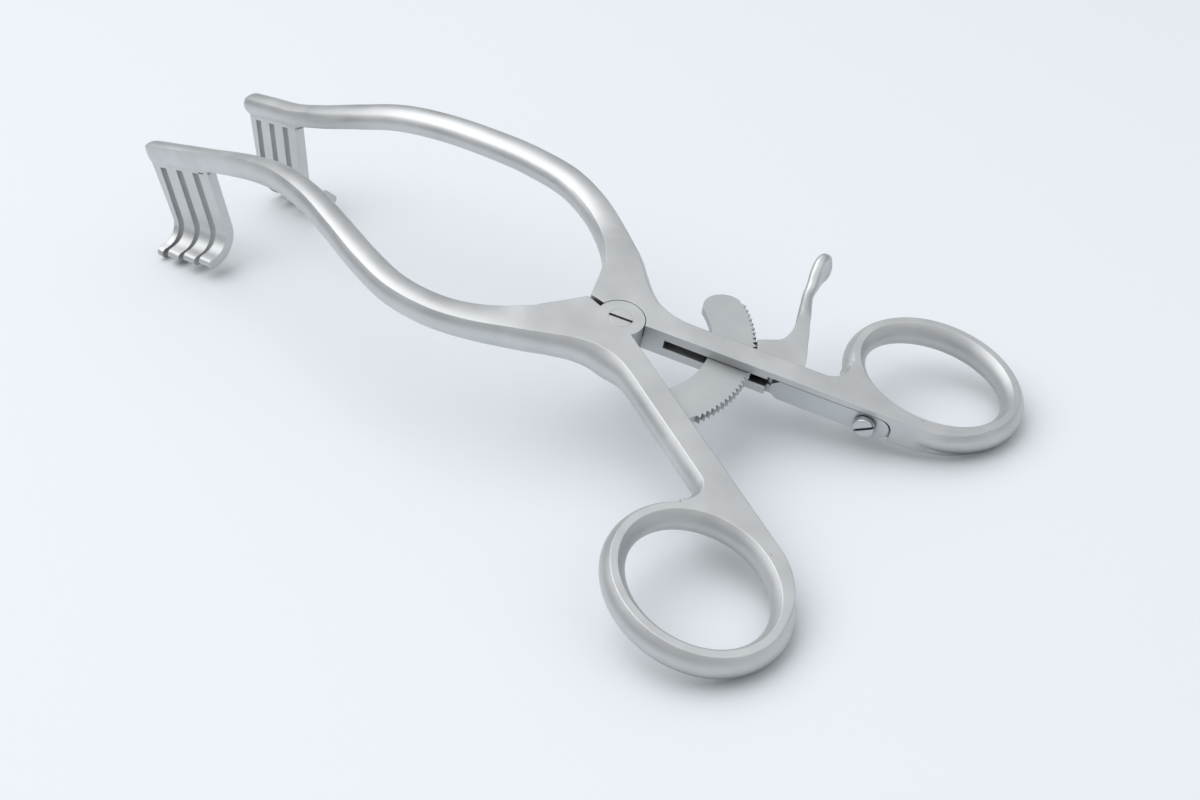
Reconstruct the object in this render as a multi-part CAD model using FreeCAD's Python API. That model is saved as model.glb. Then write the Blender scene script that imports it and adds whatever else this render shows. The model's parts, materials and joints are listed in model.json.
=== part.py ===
import FreeCAD, Part
import math
import os

# All sizes are in millimetres. The two arms are drawn in the handle frame: pivot on the origin,
# X towards the finger rings, +Y on the far arm's side, Z square to the plane that the arms turn in.
# The finished pieces are then tilted onto the table, so that rings and tines rest on z = 0.

# Handle plates
arm_t = 5.8            # thickness of both arms at the joint, the shanks and the rings
shank_angle = 20.2     # each shank's inner face, from the middle line
flat_w = 4.5           # flat top of a shank, from its inner face to the ridge

# Finger rings
ring_x, ring_y = 48.36, 34.44
ring_a, ring_b = 15.33, 13.13  # half axes of the oval along the middle of the ring's section
ring_turn = 10.4               # its long axis, from X towards the ring's own outer side
ring_half_w = 2.14             # half width of the ring's rounded section
ring_crest = 0.75              # where the section's crest is, out from its middle
web_r = 4.0                    # fillet between a shank's ridge and its ring's crest
side_bulge = ring_half_w - ring_crest  # how far a shank's outer side stands past its ridge

# Box lap and pivot screw
lap_r = 4.6
lap_gap = 0.15         # round the lap's disc
lap_face_gap = 0.06    # between the two halves of the lap
pivot_head_r = 2.35
pivot_thread_r = 1.7
pivot_play = 0.05
pivot_slot_w, pivot_slot_d = 0.6, 0.7
pivot_slot_turn = 21.0

# Ratchet bar
bar_t = 1.7
bar_in_r = 17.5
tooth_tip_r = 25.9
tooth_depth = 0.8
tooth_root_r = tooth_tip_r - tooth_depth
tooth_pitch = 2.69     # degrees
tooth_count = 29
tooth_first = -14.5    # degrees, nearest the near arm
bar_tip = 72.0         # degrees
bar_root_depth = 4.6   # how deep the bar sits in the near arm
bar_pin_r = 0.8
pin_cover = 0.9        # metal left over the blind ends of the cross pins

# Slot through the far arm
slot_h = 1.94
slot_front, slot_rear = 8.2, 33.0

# Release lever
lever_t = 1.6
lever_pin_r = 1.0
lever_pin_play = 0.05
lever_pin_x, lever_pin_y = 27.2, 12.6
nose_clear = 0.15      # nose to tooth tips
heel_l = 4.2           # from the pin back to the heel, along X
heel_corner_l, heel_corner_d = 5.0, 2.4
foot_l, foot_lift = 1.4, 0.5

# Plate of the lever, x and y from the pin: front edge from the nose, end of the stem, rear edge.
lever_front = [(-6.0, 6.6), (-4.7, 8.3), (-4.6, 10.8), (-6.3, 15.0), (-9.6, 20.8)]
lever_end = [(-9.6, 20.8), (-10.3, 22.3), (-8.3, 23.0), (-7.4, 21.6)]
lever_rear = [(-7.4, 21.6), (-4.3, 16.4), (-1.5, 11.8), (1.4, 7.8)]
nose_from, nose_to = 27.5, 41.5        # degrees
pad_stem, pad_tip = (-8.85, 22.3, 0.2), (-11.0, 29.3, 2.0)
paddle_l, paddle_w, paddle_t = 9.6, 6.4, 1.7
paddle_lean = 14.0     # degrees that the pad's upper edge leans towards the blades
paddle_dish = 0.5

# Leaf spring and its screw
leaf_t = 0.9
leaf_front, leaf_rear = 28.2, 49.6
leaf_lip = 1.3         # height of the lip left above the spring
leaf_gap = 0.08
spring_screw_x = 45.4
spring_head_r, spring_head_h = 2.0, 1.15
spring_head_gap = 0.18  # between head and leaf
spring_thread_r = 1.1
spring_thread_l = 3.2

# Rake blades
tine_t = 3.3
slot_w = 2.2
tine_pitch = 5.85
front_tine, rear_tine = 2.6, 3.4
bar_depth = 5.6        # crossbar, from its top line to the tops of the slots
tine_straight = 13.5
hook_r = 4.6           # concave side of the hooks
hook_run = 1.8         # straight end after the bend

# Stations of the bars between joint and blade, far arm: middle of the section x, y, z,
# flat top, outer bulge, inner bulge, height. The first one closes onto the shank.
stations = [
    (4.3, 6.25, 0.0, 4.6, 1.4, 0.05, 5.8),
    (0.5, 6.85, 0.0, 5.0, 1.4, 0.05, 5.8),
    (-3.1, 8.1, 0.0, 6.2, 1.5, 0.05, 5.8),
    (-7.0, 9.9, 0.0, 7.6, 1.4, 0.1, 5.8),
    (-10.5, 13.1, -0.05, 6.6, 1.3, 0.2, 5.75),
    (-14.5, 16.1, -0.35, 5.3, 1.1, 0.4, 5.5),
    (-18.8, 18.9, -0.65, 4.6, 1.0, 0.5, 5.2),
    (-26.5, 22.6, -0.85, 4.2, 1.0, 0.6, 5.0),
    (-35.0, 24.4, -0.7, 4.1, 1.0, 0.6, 5.0),
    (-44.0, 23.6, -0.65, 4.0, 1.0, 0.6, 4.9),
    (-55.4, 21.0, -1.1, 3.8, 0.9, 0.6, 4.8),
    (-65.5, 18.5, -2.3, 3.6, 0.9, 0.6, 4.8),
    (-76.4, 16.2, -5.3, 3.5, 0.8, 0.5, 4.7),
    (-87.0, 14.2, -10.4, 3.4, 0.7, 0.4, 4.6),
    (-99.0, 12.8, -17.0, 3.5, 0.35, 0.2, 4.5),
    (-106.5, 12.6, -21.0, 3.7, 0.1, 0.1, 4.4),
]
blade_front = (-125.2, 14.15, -29.5)   # middle of the top bar at its front end
tine_way = (0.226, -0.08, -0.97)       # the way the tines point

half = arm_t / 2
V = FreeCAD.Vector
UP = V(0, 0, 1)
along = V(math.cos(math.radians(shank_angle)), math.sin(math.radians(shank_angle)), 0)
out = V(-along.y, along.x, 0)


def polar(r, deg, z=0.0):
    a = math.radians(deg)
    return V(r * math.cos(a), r * math.sin(a), z)


def unit(v):
    return V(v).normalize()


def ellipse_wire(cx, cy, a, b, turn, z):
    e = Part.Ellipse(V(cx, cy, z), a, b)
    wire = Part.Wire([e.toShape()])
    wire.rotate(V(cx, cy, z), UP, turn)
    return wire


def ring_reach(deg, a, b):
    # How far an oval with the ring's turn reaches square to a line at this angle.
    d = math.radians(deg - ring_turn)
    return math.hypot(a * math.sin(d), b * math.cos(d))


def shank_offset():
    # Distance from the pivot to the shank's inner face, so that the face is tangent to the ring.
    reach = ring_reach(shank_angle, ring_a + ring_half_w, ring_b + ring_half_w)
    return V(ring_x, ring_y, 0).dot(out) - reach


inner_face = shank_offset()


def on_face(x, depth=0.0, z=0.0):
    # The point of the far shank's inner face at this x, moved into the arm by depth.
    y = (inner_face - x * out.x) / out.y
    return V(x, y, z) + out * depth


def prism(points, z0, z1):
    wire = Part.makePolygon([V(p.x, p.y, z0) for p in points + points[:1]])
    return Part.Face(wire).extrude(V(0, 0, z1 - z0))


def section(middle, way, flat, bulge, inner_bulge, height, up_hint=UP):
    side = unit(way.cross(up_hint))
    up = unit(side.cross(way))
    edge = middle + side * ((flat + inner_bulge - bulge) / 2)
    back = edge - side * flat
    h = up * (height / 2)
    return Part.Wire([
        Part.LineSegment(back + h, edge + h).toShape(),
        Part.Arc(edge + h, edge + side * bulge, edge - h).toShape(),
        Part.LineSegment(edge - h, back - h).toShape(),
        Part.Arc(back - h, back - side * inner_bulge, back + h).toShape(),
    ])


def bar():
    # Round-sided bar from the waist beside the joint to the blade.
    middles = [V(*s[:3]) for s in stations]
    start = on_face(10.0, (flat_w + side_bulge + 0.05) / 2)
    middles = [start] + middles
    shapes = [(flat_w, side_bulge, 0.05, arm_t)] + [s[3:] for s in stations]
    front = V(*blade_front)
    wires = []
    for i, m in enumerate(middles):
        ahead = middles[i + 1] if i + 1 < len(middles) else front
        behind = middles[i - 1] if i else m + along
        way = -along if i == 0 else unit(ahead - behind)
        wires.append(section(m, way, *shapes[i]))
    return Part.makeLoft(wires, True, False)


def shank():
    start = on_face(10.0, (flat_w + side_bulge + 0.05) / 2)
    wire = section(start, -along, flat_w, side_bulge, 0.05, arm_t)
    return Part.Face(wire).extrude(along * 30.0)


def joint_plate():
    # Flat web of the joint, from the shank's inner face round the pivot to the front shoulder.
    front = Part.BSplineCurve()
    front.interpolate([V(-7.9, 0.35, -half), V(-9.9, 4.3, -half), V(-12.4, 9.0, -half)])
    corners = [V(-12.4, 9.0, -half), V(-8.0, 12.0, -half), V(0, 8.0, -half),
               on_face(8.0, 3.0, -half), on_face(12.0, 3.0, -half), on_face(12.0, 0.0, -half),
               on_face(4.85, 0.0, -half), V(0.0, 0.0, -half), V(-4.8, 0.6, -half),
               V(-7.9, 0.35, -half)]
    edges = [front.toShape()]
    edges += [Part.LineSegment(a, b).toShape() for a, b in zip(corners, corners[1:])]
    return Part.Face(Part.Wire(edges)).extrude(V(0, 0, arm_t))


def ring():
    # Rounded section with a crest towards its outer side, led round the oval.
    path = Part.Wire([Part.Ellipse(V(0, 0, 0), ring_a, ring_b).toShape()])
    high, low = V(ring_a + ring_crest, 0, half), V(ring_a + ring_crest, 0, -half)
    profile = Part.Wire([Part.Arc(high, V(ring_a - ring_half_w, 0, 0), low).toShape(),
                         Part.Arc(low, V(ring_a + ring_half_w, 0, 0), high).toShape()])
    sweep = Part.BRepOffsetAPI.MakePipeShell(path)
    sweep.setBiNormalMode(UP)
    sweep.add(profile, False, False)
    sweep.build()
    sweep.makeSolid()
    body = sweep.shape()
    body.rotate(V(0, 0, 0), UP, ring_turn)
    body.translate(V(ring_x, ring_y, 0))
    return body


def ring_opening():
    oval = Part.Face(ellipse_wire(ring_x, ring_y, ring_a, ring_b, ring_turn, -arm_t))
    return oval.extrude(V(0, 0, 2 * arm_t)).cut(ring())


def ring_web():
    # Fills the corner between shank and ring, up to a round fillet with the shank's bulging side.
    crest = ellipse_wire(ring_x, ring_y, ring_a + ring_crest, ring_b + ring_crest, ring_turn, 0)

    def centre(x):
        return on_face(x, flat_w + web_r)

    near, far = 20.0, 36.0
    for _ in range(30):
        x = (near + far) / 2
        if Part.Vertex(centre(x)).distToShape(crest)[0] > web_r:
            near = x
        else:
            far = x
    hub = centre(x)
    touch = Part.Vertex(hub).distToShape(crest)[1][0][1]
    foot = hub - out * web_r
    start = math.degrees(math.atan2(foot.y - hub.y, foot.x - hub.x))
    end = math.degrees(math.atan2(touch.y - hub.y, touch.x - hub.x))
    rim = Part.Wire([
        Part.Arc(V(web_r, 0, half), V(web_r - side_bulge, 0, 0), V(web_r, 0, -half)).toShape(),
        Part.LineSegment(V(web_r, 0, -half), V(web_r + 2.6, 0, -half)).toShape(),
        Part.LineSegment(V(web_r + 2.6, 0, -half), V(web_r + 2.6, 0, half)).toShape(),
        Part.LineSegment(V(web_r + 2.6, 0, half), V(web_r, 0, half)).toShape()])
    body = Part.Face(rim).revolve(V(0, 0, 0), UP, end - start)
    body.rotate(V(0, 0, 0), UP, start)
    body.translate(hub)
    rim_points = [hub + polar(web_r + 1.5, start + (end - start) * k) for k in (0, 0.25, 0.5, 0.75, 1)]
    fill = prism([foot - out * 4.0, on_face(46.0, 0.6)] + rim_points[::-1], -half, half)
    return body.fuse(fill)


def ring_tangent():
    # Carries the flat inner face on round the ring, until its edges meet the ring's crest.
    a, b = ring_a + ring_half_w, ring_b + ring_half_w
    d = math.radians(shank_angle - ring_turn)
    reach = V(a * a * math.sin(d), -b * b * math.cos(d), 0) * (1 / ring_reach(shank_angle, a, b))
    start = math.degrees(math.atan2(reach.y / b, reach.x / a))
    edge = []
    for k in range(7):
        t = math.radians(start + 11.0 * k)
        out_by = ring_half_w - (ring_half_w - ring_crest + 0.3) * (k / 6.0) ** 1.6
        p = V((ring_a + out_by) * math.cos(t), (ring_b + out_by) * math.sin(t), 0)
        turned = FreeCAD.Rotation(UP, ring_turn).multVec(p)
        edge.append(V(ring_x + turned.x, ring_y + turned.y, -half))
    curve = Part.BSplineCurve()
    curve.interpolate(Points=edge, InitialTangent=along, FinalTangent=edge[-1] - edge[-2])
    back = V(ring_x, ring_y, -half)
    root, deep = on_face(36.0, 0.0, -half), on_face(40.0, 3.0, -half)
    edges = [Part.LineSegment(root, edge[0]).toShape(), curve.toShape()]
    edges += [Part.LineSegment(a, b).toShape() for a, b in ((edge[-1], back), (back, deep), (deep, root))]
    return Part.Face(Part.Wire(edges)).extrude(V(0, 0, arm_t))


def blade_frame():
    rear, front = V(*stations[-1][:3]), V(*blade_front)
    top_line = unit(rear - front)
    down = unit(V(*tine_way))
    ex = unit(top_line - down * top_line.dot(down))
    ey = unit(down.cross(ex)) * -1
    if ey.y < 0:
        ey = ey * -1
    rise = top_line.dot(down * -1) / top_line.dot(ex)
    return front, ex, ey, down * -1, rise


def blade():
    front, ex, ey, ez, rise = blade_frame()
    length = front_tine + rear_tine + 3 * slot_w + 2 * (tine_pitch - slot_w)
    thick = stations[-1][3] + stations[-1][4] + stations[-1][5]
    bar_h = stations[-1][6]

    def at(p, q, side=0.0):
        return front + ex * p + ez * (q + rise * p) + ey * side

    # Crossbar under the round top bar
    foot = -bar_depth + bar_h / 2
    # the plate's outer face is flush with the top bar's ridge
    base = (thick - 2 * stations[-1][5]) / 2 - tine_t / 2
    corners = [at(p, q, base - tine_t / 2) for p, q in ((0, 0), (length, 0), (length, foot), (0, foot))]
    solid = Part.Face(Part.makePolygon(corners + corners[:1])).extrude(ey * tine_t)

    # Tines, each bent outwards in a hook
    for n in range(4):
        p0 = 0.0 if n == 0 else front_tine + slot_w + (n - 1) * tine_pitch
        wide = front_tine if n == 0 else rear_tine if n == 3 else tine_pitch - slot_w
        solid = solid.fuse(tine(at(p0, 0.0, base), ex, ey, ez, wide, foot))

    # Top bar from the arm's last section to the rounded front end
    s = stations[-1]
    way = unit(front - V(*s[:3]))
    wire_a = section(V(*s[:3]), way, *s[3:])
    wire_b = section(front, way, *s[3:])
    top = Part.makeLoft([wire_a, wire_b], True, True)
    solid = solid.fuse(top)
    nose = section(front + way * 0.8, way, s[3] * 0.66, s[4] * 0.6, s[5] * 0.6, s[6] * 0.7)
    return solid.fuse(Part.makeLoft([wire_b, nose], True, True))


def tine(top, ex, ey, ez, wide, foot):
    # Side view of one tine in the plane of ey and ez, drawn on its front face.
    t = tine_t / 2
    q = foot - tine_straight
    mid = top + ey * (t + hook_r) + ez * q
    big = hook_r + tine_t

    def ring_point(r, deg):
        a = math.radians(deg)
        return mid - ey * (r * math.cos(a)) - ez * (r * math.sin(a))

    end_in = ring_point(hook_r, 90) + ey * hook_run
    end_out = ring_point(big, 90) + ey * (hook_run - 0.6) + ez * 0.0
    tip = ring_point(big - 0.9, 90) + ey * (hook_run + 0.5)
    edges = [
        Part.LineSegment(top - ey * t, top - ey * t + ez * q).toShape(),
        Part.Arc(ring_point(big, 0), ring_point(big, 45), ring_point(big, 90)).toShape(),
        Part.LineSegment(ring_point(big, 90), end_out).toShape(),
        Part.Arc(end_out, tip, end_in).toShape(),
        Part.LineSegment(end_in, ring_point(hook_r, 90)).toShape(),
        Part.Arc(ring_point(hook_r, 90), ring_point(hook_r, 45), ring_point(hook_r, 0)).toShape(),
        Part.LineSegment(ring_point(hook_r, 0), top + ey * t).toShape(),
        Part.LineSegment(top + ey * t, top - ey * t).toShape(),
    ]
    return Part.Face(Part.Wire(edges)).extrude(ex * wide)


def arm_blank():
    handle = shank().fuse([ring_web(), ring(), ring_tangent()]).cut(ring_opening())
    return handle.fuse(joint_plate()).fuse(bar().fuse(blade()))


def mirrored(shape):
    return shape.mirror(V(0, 0, 0), V(0, 1, 0))


def lap(arm, side):
    # side 1 keeps the disc in the upper half, side -1 in the lower half.
    pocket = Part.makeCylinder(lap_r + lap_gap, half + 1)
    disc = Part.makeCylinder(lap_r, half - lap_face_gap / 2)
    if side > 0:
        pocket.translate(V(0, 0, -half - 1 + 0.0))
        disc.translate(V(0, 0, lap_face_gap / 2))
    else:
        disc.translate(V(0, 0, -half))
    pocket.translate(V(0, 0, lap_face_gap / 2 if side > 0 else -lap_face_gap / 2))
    return arm.cut(pocket).fuse(disc)


def pivot_screw():
    head = Part.makeCylinder(pivot_head_r, half + lap_face_gap / 2, V(0, 0, -lap_face_gap / 2))
    thread = Part.makeCylinder(pivot_thread_r, half, V(0, 0, -half))
    slot = Part.makeBox(4 * pivot_head_r, pivot_slot_w, pivot_slot_d + 1,
                        V(-2 * pivot_head_r, -pivot_slot_w / 2, half - pivot_slot_d))
    slot.rotate(V(0, 0, 0), UP, pivot_slot_turn)
    return head.fuse(thread).cut(slot).removeSplitter()


def ratchet_bar():
    z = -bar_t / 2
    last = tooth_first + tooth_count * tooth_pitch
    root = -shank_angle - math.degrees(math.asin(
        (inner_face + bar_root_depth) / tooth_tip_r)) - 2.0
    points = [polar(tooth_root_r, root, z), polar(tooth_root_r, tooth_first, z)]
    for n in range(tooth_count):
        a = tooth_first + n * tooth_pitch
        points += [polar(tooth_tip_r, a + 0.25 * tooth_pitch, z),
                   polar(tooth_root_r, a + tooth_pitch, z)]
    edges = [Part.Arc(points[0], polar(tooth_root_r, (root + tooth_first) / 2, z),
                      points[1]).toShape()]
    edges += [Part.LineSegment(a, b).toShape() for a, b in zip(points[1:], points[2:])]
    shoulder = polar(tooth_root_r + 0.2, last + 1.2, z)
    edges.append(Part.LineSegment(points[-1], shoulder).toShape())
    tip = [shoulder, polar(23.4, bar_tip - 1.5, z), polar(20.6, bar_tip + 0.5, z),
           polar(18.4, bar_tip - 2.0, z), polar(bar_in_r, bar_tip - 7.0, z)]
    nose = Part.BSplineCurve()
    nose.interpolate(tip)
    edges.append(nose.toShape())
    edges.append(Part.Arc(tip[-1], polar(bar_in_r, 15, z), polar(bar_in_r, root - 6, z)).toShape())
    edges.append(Part.LineSegment(polar(bar_in_r, root - 6, z), points[0]).toShape())
    body = Part.Face(Part.Wire(edges)).extrude(V(0, 0, bar_t))
    span = 2 * ring_x
    return body.common(mirrored(prism([on_face(-span, bar_root_depth), on_face(span, bar_root_depth),
                                       on_face(span, -span), on_face(-span, -span)], -half, half)))


def bar_pins():
    # Two flush cross pins hold the bar in the near arm.
    pins = []
    for share in (0.25, 0.75):
        r = bar_in_r + share * (tooth_root_r - bar_in_r)
        a = shank_angle + math.degrees(math.asin((inner_face + 0.62 * bar_root_depth) / r))
        pins.append(Part.makeCylinder(bar_pin_r, arm_t - pin_cover, polar(r, -a, -half)))
    return pins


def far_slot():
    return prism([on_face(slot_front, -half), on_face(slot_rear, -half),
                  on_face(slot_rear, 2 * arm_t), on_face(slot_front, 2 * arm_t)],
                 -slot_h / 2, slot_h / 2)


def lever_pin():
    return Part.makeCylinder(lever_pin_r, arm_t - pin_cover, V(lever_pin_x, lever_pin_y, -half))


def release_lever():
    z = -lever_t / 2
    nose_r = tooth_tip_r + nose_clear
    pin = V(lever_pin_x, lever_pin_y, 0)
    heel = on_face(pin.x + heel_l, leaf_t + leaf_gap, z)
    corner = on_face(pin.x + heel_corner_l, heel_corner_d, z)
    foot = on_face(pin.x + foot_l, leaf_t + foot_lift, z)

    def spline(offsets, first=None, last=None):
        points = [pin + V(x, y, z) for x, y in offsets]
        points = ([first] if first else []) + points + ([last] if last else [])
        curve = Part.BSplineCurve()
        curve.interpolate(points)
        return curve.toShape()

    nose_a, nose_b = polar(nose_r, nose_from, z), polar(nose_r, nose_to, z)
    edge = [Part.Arc(nose_a, polar(nose_r, (nose_from + nose_to) / 2, z), nose_b).toShape(),
            spline(lever_front, first=nose_b), spline(lever_end), spline(lever_rear, last=corner),
            Part.LineSegment(corner, heel).toShape(),
            Part.LineSegment(heel, foot).toShape(),
            Part.LineSegment(foot, nose_a).toShape()]
    plate = Part.Face(Part.Wire(edge)).extrude(V(0, 0, lever_t))
    plate = plate.cut(Part.makeCylinder(lever_pin_r + lever_pin_play, arm_t,
                                        V(pin.x, pin.y, -half)))
    return plate.fuse(paddle()).removeSplitter()


def paddle():
    # Oval thumb pad with a hollowed face, turned square to the lever's plate.
    pin = V(lever_pin_x, lever_pin_y, 0)
    stem, tip = pin + V(*pad_stem), pin + V(*pad_tip)
    way = unit(tip - stem)
    upright = unit(UP - way * UP.dot(way))
    sideways = unit(way.cross(upright))
    lean = math.radians(paddle_lean)
    across = upright * math.cos(lean) - sideways * math.sin(lean)
    face = sideways * math.cos(lean) + upright * math.sin(lean)
    middle = stem + way * (paddle_l * 0.5)
    oval = Part.Ellipse(middle + way * (paddle_l / 2), middle + across * (paddle_w / 2), middle)
    pad = Part.Face(Part.Wire([oval.toShape()])).extrude(face * paddle_t)
    pad.translate(face * (-paddle_t / 2))
    rim = paddle_w / 2 - 0.5
    ball = (rim * rim + paddle_dish * paddle_dish) / (2 * paddle_dish)
    return pad.cut(Part.makeSphere(ball, middle + face * (paddle_t / 2 + ball - paddle_dish)))


def leaf_outline(grow=0.0, depth=0.0, thick=1.0, lift=0.0):
    # The spring's side view on the shank's inner face, extruded into the arm.
    top, low = half - leaf_lip + grow - lift, -half - grow
    front, rear = leaf_front - grow, leaf_rear + grow
    h = (top - low) / 2

    def p(x, z):
        return on_face(x, depth, z)

    r = h * along.x
    edges = [Part.LineSegment(p(front, low + 1.2), p(front, top - 1.2)).toShape(),
             Part.LineSegment(p(front, top - 1.2), p(front + 1.4, top)).toShape(),
             Part.LineSegment(p(front + 1.4, top), p(rear - r, top)).toShape(),
             Part.Arc(p(rear - r, top), p(rear, low + h), p(rear - r, low)).toShape(),
             Part.LineSegment(p(rear - r, low), p(front + 1.4, low)).toShape(),
             Part.LineSegment(p(front + 1.4, low), p(front, low + 1.2)).toShape()]
    return Part.Face(Part.Wire(edges)).extrude(out * thick)


def leaf_recess():
    top, low = half - leaf_lip, -half - 1.0
    h = (top + half) / 2
    rear = leaf_rear + 0.3
    r = h * along.x
    a, b = on_face(leaf_front - 0.9, -1.0, top), on_face(rear - r, -1.0, top)
    c, d = on_face(rear, -1.0, top - h), on_face(rear, -1.0, low)
    e = on_face(leaf_front - 0.9, -1.0, low)
    edges = [Part.LineSegment(a, b).toShape(),
             Part.Arc(b, on_face(rear - r * (1 - math.sin(math.pi / 4)), -1.0,
                                 top - h * (1 - math.cos(math.pi / 4))), c).toShape(),
             Part.LineSegment(c, d).toShape(), Part.LineSegment(d, e).toShape(),
             Part.LineSegment(e, a).toShape()]
    return Part.Face(Part.Wire(edges)).extrude(out * (1.0 + leaf_t))


def spring_axis():
    return on_face(spring_screw_x, 0.0, -leaf_lip / 2 - 0.2)


def leaf_spring():
    leaf = leaf_outline(lift=0.1, thick=leaf_t)
    hole = Part.makeCylinder(spring_thread_r + 0.25, 6, spring_axis() - out * 3, out)
    return leaf.cut(hole)


def spring_screw():
    # Domed head over the spring, thread in the arm.
    gap = spring_head_gap
    r, h = spring_head_r, spring_head_h
    ball = (r * r + h * h) / (2 * h)
    base = spring_axis() - out * gap
    head = Part.makeSphere(ball, base + out * (ball - h)).common(
        Part.makeCylinder(r, h + 0.2, base, out * -1))
    thread = Part.makeCylinder(spring_thread_r, spring_thread_l + gap, base, out)
    slot = Part.makeBox(6 * r, 0.6, 1.0, V(-3 * r, -0.3, 0))
    turn = FreeCAD.Rotation(UP, out * -1).multiply(FreeCAD.Rotation(UP, 20))
    slot.Placement = FreeCAD.Placement(base - out * (h - 0.65), turn)
    return head.fuse(thread).cut(slot).removeSplitter()


def rest_pose(tines, rings):
    # Tilt and lift that put the hooks and the rear of the rings on z = 0 together.
    def low(shape, tilt):
        s = shape.copy()
        s.rotate(V(0, 0, 0), V(0, 1, 0), tilt)
        return s.optimalBoundingBox().ZMin

    a, b = 10.0, 19.0
    for _ in range(16):
        m = (a + b) / 2
        if low(tines, m) < low(rings, m):
            a = m
        else:
            b = m
    return m, -min(low(tines, m), low(rings, m))


def build():
    blank = arm_blank()
    tilt, lift = rest_pose(blade(), ring())

    far = lap(blank, -1)
    far = far.cut(Part.makeCylinder(pivot_thread_r, arm_t * 2, V(0, 0, -arm_t)))
    far = far.cut(far_slot()).cut(leaf_recess())
    far = far.cut(lever_pin())
    screw = spring_screw()
    far = far.cut(Part.makeCylinder(spring_thread_r, spring_thread_l,
                                    spring_axis(), out))

    bar_piece = ratchet_bar()
    pins = bar_pins()
    near = lap(mirrored(blank), 1)
    near = near.cut(Part.makeCylinder(pivot_head_r + pivot_play, arm_t * 2, V(0, 0, -arm_t)))
    near = near.cut(bar_piece)
    for p in pins:
        near = near.cut(p)
        bar_piece = bar_piece.cut(p)

    pieces = {
        "far_arm": far,
        "near_arm": near,
        "pivot_screw": pivot_screw(),
        "ratchet_bar": bar_piece,
        "ratchet_pin_front": pins[0],
        "ratchet_pin_rear": pins[1],
        "release_lever": release_lever(),
        "lever_pin": lever_pin(),
        "leaf_spring": leaf_spring(),
        "spring_screw": screw,
    }
    for s in pieces.values():
        s.rotate(V(0, 0, 0), V(0, 1, 0), tilt)
        s.translate(V(0, 0, lift))
    boxes = [s.optimalBoundingBox() for s in pieces.values()]
    shift = V(-(min(b.XMin for b in boxes) + max(b.XMax for b in boxes)) / 2,
              -(min(b.YMin for b in boxes) + max(b.YMax for b in boxes)) / 2, 0)
    for s in pieces.values():
        s.translate(shift)
    return pieces, tilt, V(0, 0, lift) + shift


os.makedirs("parts", exist_ok=True)
pieces, rest_tilt, rest_shift = build()
for name, shape in pieces.items():
    solids = len(shape.Solids)
    print(name, "solids", solids, "valid", shape.isValid(), "volume", round(shape.Volume, 1))
    if solids == 1:
        shape = shape.Solids[0]
    shape.exportStep("parts/" + name + ".step")
print("tilt", round(rest_tilt, 3), "shift", [round(v, 3) for v in rest_shift])
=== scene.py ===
import json
import math
import bmesh
import bpy
from mathutils import Matrix, Vector


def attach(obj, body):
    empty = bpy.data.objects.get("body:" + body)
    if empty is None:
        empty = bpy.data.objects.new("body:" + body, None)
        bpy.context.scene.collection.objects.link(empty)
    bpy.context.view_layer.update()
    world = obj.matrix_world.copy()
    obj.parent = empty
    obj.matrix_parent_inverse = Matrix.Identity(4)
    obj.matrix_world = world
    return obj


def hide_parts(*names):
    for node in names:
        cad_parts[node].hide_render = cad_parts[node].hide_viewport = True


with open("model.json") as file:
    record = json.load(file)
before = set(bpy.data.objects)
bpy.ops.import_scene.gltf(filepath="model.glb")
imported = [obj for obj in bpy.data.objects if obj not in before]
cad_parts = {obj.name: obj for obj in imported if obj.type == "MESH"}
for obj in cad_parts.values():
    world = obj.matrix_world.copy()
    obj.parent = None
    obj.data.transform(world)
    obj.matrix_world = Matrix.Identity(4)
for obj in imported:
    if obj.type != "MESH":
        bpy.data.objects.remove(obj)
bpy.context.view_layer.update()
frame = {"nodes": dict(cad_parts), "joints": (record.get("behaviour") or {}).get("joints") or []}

print("frame loaded:", len(frame["nodes"]), "nodes")

# The handle frame: pivot on the origin, X towards the rings, Z along the pivot's axis.
# All sizes below are millimetres and degrees in it, unless a note says otherwise.
armPivot = next(j for j in frame["joints"] if j["name"] == "arm_pivot")
pivotPoint, pivotAxis = Vector(armPivot["pos_m"]), Vector(armPivot["axis"]).normalized()
handleY = Vector((0, 1, 0))
handleX = handleY.cross(pivotAxis).normalized()
handleAxes = Matrix((handleX, handleY, pivotAxis)).transposed()
mm = 0.001


def addObject(name, data):
    piece = bpy.data.objects.new(name, data)
    bpy.context.scene.collection.objects.link(piece)
    return piece


# Camera: where the photograph was taken from
camera = {"turn": 35.065, "rise": 46.741, "roll": 10.237, "place": (120.78, -173.99, 205.10),
          "sensor": 36.0, "lens": 47.42, "clip": (0.01, 20)}   # clip in metres


def makeCamera():
    turn, rise, roll = (math.radians(camera[k]) for k in ("turn", "rise", "roll"))
    back = Vector((math.sin(turn) * math.cos(rise), -math.cos(turn) * math.cos(rise), math.sin(rise)))
    right = Vector((math.cos(turn), math.sin(turn), 0))
    up = back.cross(right)
    rolledRight = right * math.cos(roll) + up * math.sin(roll)
    rolledUp = up * math.cos(roll) - right * math.sin(roll)
    data = bpy.data.cameras.new("photoCamera")
    data.sensor_width, data.lens = camera["sensor"], camera["lens"]
    data.clip_start, data.clip_end = camera["clip"]
    cam = addObject("photoCamera", data)
    place = Matrix([handleAxes @ v for v in (rolledRight, rolledUp, back)]).transposed().to_4x4()
    place.translation = pivotPoint + handleAxes @ Vector(camera["place"]) * mm
    cam.matrix_world = place
    bpy.context.scene.camera = cam


makeCamera()
print("camera set")


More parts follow.
